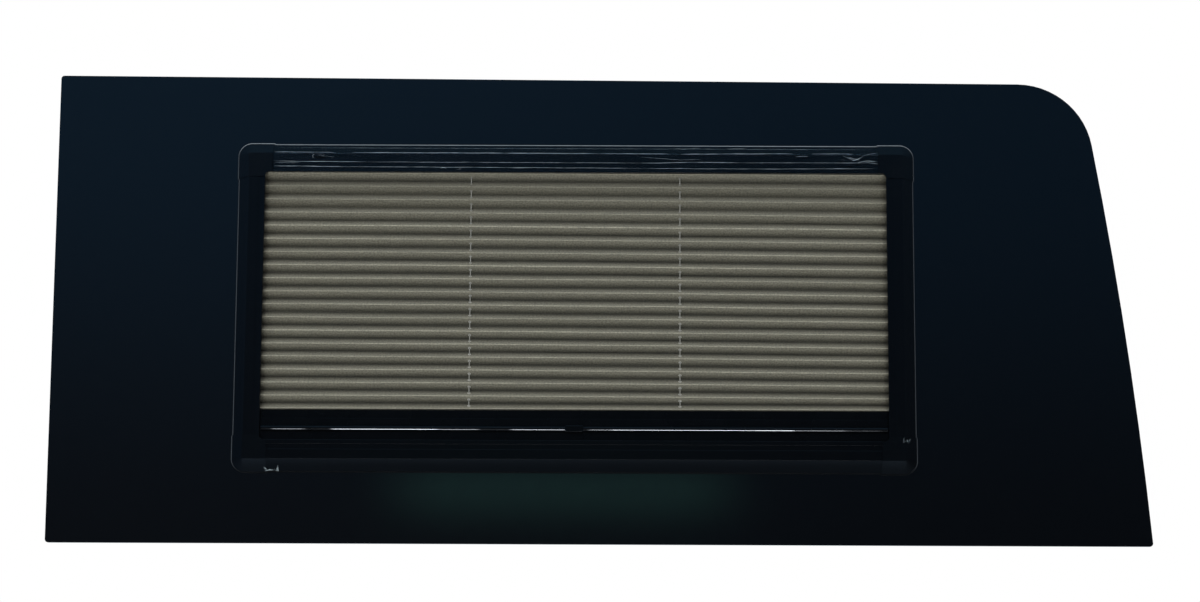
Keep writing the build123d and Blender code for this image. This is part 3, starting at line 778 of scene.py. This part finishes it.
coat("pull_bar", bar_metal)
for node in ("grip_tab", "guide_shoe_left", "guide_shoe_right"):
    coat(node, satin_plastic)

# Stage: a pale floor well below the window, soft lamps, and a dark tent that only shows
# in the black gloss, as a photographer hangs cards to keep black glass black.
FLOOR_HALF, FLOOR_DROP = 40.0, -0.75
FLOOR_DARK, FLOOR_PALE = (0.80, 0.80, 0.80), (0.84, 0.84, 0.84)
TENT_RADIUS = 9.0
TENT_LOW, TENT_HIGH = (0.060, 0.076, 0.105), (0.085, 0.205, 0.375)
TENT_LEFT, TENT_RIGHT = (1.15, 1.15, 1.15), (0.75, 0.78, 0.80)
WINDOW_MIDDLE = (0, 0, 0.24)

floor = bpy.data.objects.new("floor", bpy.data.meshes.new("floor"))
bpy.context.collection.objects.link(floor)
shape = bmesh.new()
bmesh.ops.create_grid(shape, x_segments=1, y_segments=1, size=FLOOR_HALF)
bmesh.ops.translate(shape, verts=shape.verts, vec=(0, 0, FLOOR_DROP))
shape.to_mesh(floor.data)
shape.free()
pale, tree, shader, place = finish_of("floor_pale")
drive(shader, "Base Color", two_tone(tree, noise_node(tree, place, scale=3.0), FLOOR_DARK, FLOOR_PALE))
shader.inputs["Roughness"].default_value = 0.9
floor.data.materials.append(pale)
floor.visible_glossy = False

tent = bpy.data.objects.new("tent", bpy.data.meshes.new("tent"))
bpy.context.collection.objects.link(tent)
shape = bmesh.new()
bmesh.ops.create_icosphere(shape, subdivisions=5, radius=TENT_RADIUS)
shape.to_mesh(tent.data)
shape.free()
cards = bpy.data.materials.new("tent_cards")
cards.use_nodes = True
tree = cards.node_tree
tree.nodes.clear()
unit = tree.nodes.new("ShaderNodeVectorMath")
unit.operation = "NORMALIZE"
tree.links.new(tree.nodes.new("ShaderNodeTexCoord").outputs["Object"], unit.inputs[0])
axes = axes_of(tree, unit.outputs["Vector"])
sky = two_tone(tree, ramp(tree, axes["Z"], 0.02, 0.30), TENT_LOW, TENT_HIGH)
sideways = two_tone(tree, ramp(tree, axes["X"], -0.28, 0.28), TENT_LEFT, TENT_RIGHT)
lit = two_tone(tree, 1.0, sky, sideways, "MULTIPLY")

# Side cards, all round the window's edge: the bevels show them by way of the glass.
side_cards = (
    ("Z", 1, (0.46, 0.98, 1.54)), ("Z", -1, (0.30, 0.42, 0.56)),
    ("X", -1, (0.135, 0.255, 0.48)), ("X", 1, (0.12, 0.135, 0.18)),
)
round_side = ramp(tree, math_node(tree, "MULTIPLY", axes["Y"], axes["Y"]), 0.20, 0.40, 1.0, 0.0)
for axis, hand, colour in side_cards:
    toward = math_node(tree, "MULTIPLY", axes[axis], hand, clamp=True)
    lit = two_tone(tree, math_node(tree, "MULTIPLY", toward, round_side), lit, colour, "ADD")


def front_card(tree, axes, base, top, at, reach):
    """A mask for a card in front, soft over its lower edge, its upper edge and its two ends."""
    above = ramp(tree, axes["Z"], *base)
    below = ramp(tree, axes["Z"], *top, 1.0, 0.0)
    aside = math_node(tree, "ABSOLUTE", math_node(tree, "SUBTRACT", axes["X"], at))
    wide = ramp(tree, aside, *reach, 1.0, 0.0)
    ahead = math_node(tree, "LESS_THAN", axes["Y"], 0.0)
    upright = math_node(tree, "MULTIPLY", above, below)
    return math_node(tree, "MULTIPLY", upright, math_node(tree, "MULTIPLY", wide, ahead))


# Front cards: a faint green one for the glow under the frame, a high strip for the film's ripples,
# and a low bright strip for the polished rib. Each: lower edge, upper edge, middle, half width, colour.
front_cards = (
    ((0.043, 0.068), (0.073, 0.081), -0.0225, (0.060, 0.110), (0.12, 0.36, 0.31)),
    ((0.34, 0.36), (0.76, 0.78), 0.0, (0.18, 0.22), (0.7, 0.8, 0.9)),
    ((-0.72, -0.70), (-0.61, -0.59), 0.0, (0.18, 0.22), (14.0, 14.6, 15.8)),
)
for base, top, at, reach, colour in front_cards:
    lit = two_tone(tree, front_card(tree, axes, base, top, at, reach), lit, colour, "ADD")

# A wide soft card behind, so that the outside of the glass doesn't go flat.
behind = math_node(tree, "MULTIPLY", ramp(tree, axes["Y"], 0.45, 0.85), ramp(tree, axes["X"], -0.75, 0.35))
behind = math_node(tree, "MULTIPLY", behind, ramp(tree, axes["Z"], -0.55, 0.05))
lit = two_tone(tree, behind, lit, (0.42, 0.47, 0.54), "ADD")
glow = tree.nodes.new("ShaderNodeEmission")
tree.links.new(lit, glow.inputs["Color"])
out = tree.nodes.new("ShaderNodeOutputMaterial")
tree.links.new(glow.outputs["Emission"], out.inputs["Surface"])
tent.data.materials.append(cards)
tent.visible_camera = False
tent.visible_diffuse = False
tent.visible_transmission = False
tent.visible_volume_scatter = False
tent.visible_shadow = False


def lamp(name, stand, width, height, power, colour):
    """A soft lamp turned to the window, which no gloss shows."""
    data = bpy.data.lights.new(name, "AREA")
    data.shape = "RECTANGLE"
    data.size, data.size_y = width, height
    data.energy = power
    data.color = colour
    item = bpy.data.objects.new(name, data)
    item.location = stand
    item.rotation_euler = (Vector(WINDOW_MIDDLE) - Vector(stand)).to_track_quat("-Z", "Y").to_euler()
    item.visible_glossy = False
    bpy.context.collection.objects.link(item)


lamp("front_lamp", (-0.9, -3.4, -0.1), width=2.6, height=1.2, power=20.0, colour=(1.0, 0.98, 0.94))
lamp("high_lamp", (-1.2, -2.6, 2.6), width=2.0, height=1.4, power=20.0, colour=(0.94, 0.97, 1.0))
lamp("rear_lamp", (1.4, 3.4, 2.8), width=3.0, height=2.2, power=18.0, colour=(1.0, 1.0, 1.0))

# The world lights softly, and is white to the camera, in gloss and through the panes.
world = bpy.data.worlds.new("studio")
bpy.context.scene.world = world
world.use_nodes = True
tree = world.node_tree
tree.nodes.clear()
paths = tree.nodes.new("ShaderNodeLightPath").outputs
seen = math_node(tree, "MAXIMUM", paths["Is Glossy Ray"], paths["Is Transmission Ray"])
seen = math_node(tree, "MAXIMUM", paths["Is Camera Ray"], seen)
daylight = tree.nodes.new("ShaderNodeBackground")
daylight.inputs["Color"].default_value = (0.93, 0.96, 1.0, 1)
daylight.inputs["Strength"].default_value = 0.8
white = tree.nodes.new("ShaderNodeBackground")
white.inputs["Color"].default_value = (1, 1, 1, 1)
white.inputs["Strength"].default_value = 1.0
pick = tree.nodes.new("ShaderNodeMixShader")
tree.links.new(seen, pick.inputs["Fac"])
tree.links.new(daylight.outputs["Background"], pick.inputs[1])
tree.links.new(white.outputs["Background"], pick.inputs[2])
out = tree.nodes.new("ShaderNodeOutputWorld")
tree.links.new(pick.outputs["Shader"], out.inputs["Surface"])

# The camera stands about 2.5 m in front of the window, a little under it.
camera = bpy.data.objects.new("camera", bpy.data.cameras.new("camera"))
camera.data.sensor_fit = "HORIZONTAL"
camera.data.sensor_width = 36.0
camera.data.lens = 72.0
camera.location = (0.009, -2.5214, -0.1091)
camera.rotation_euler = [math.radians(a) for a in (98.0231, -0.2366, 0.1631)]
camera.data.clip_end = 200.0
bpy.context.collection.objects.link(camera)
bpy.context.scene.camera = camera
bpy.context.scene.view_settings.view_transform = "Standard"
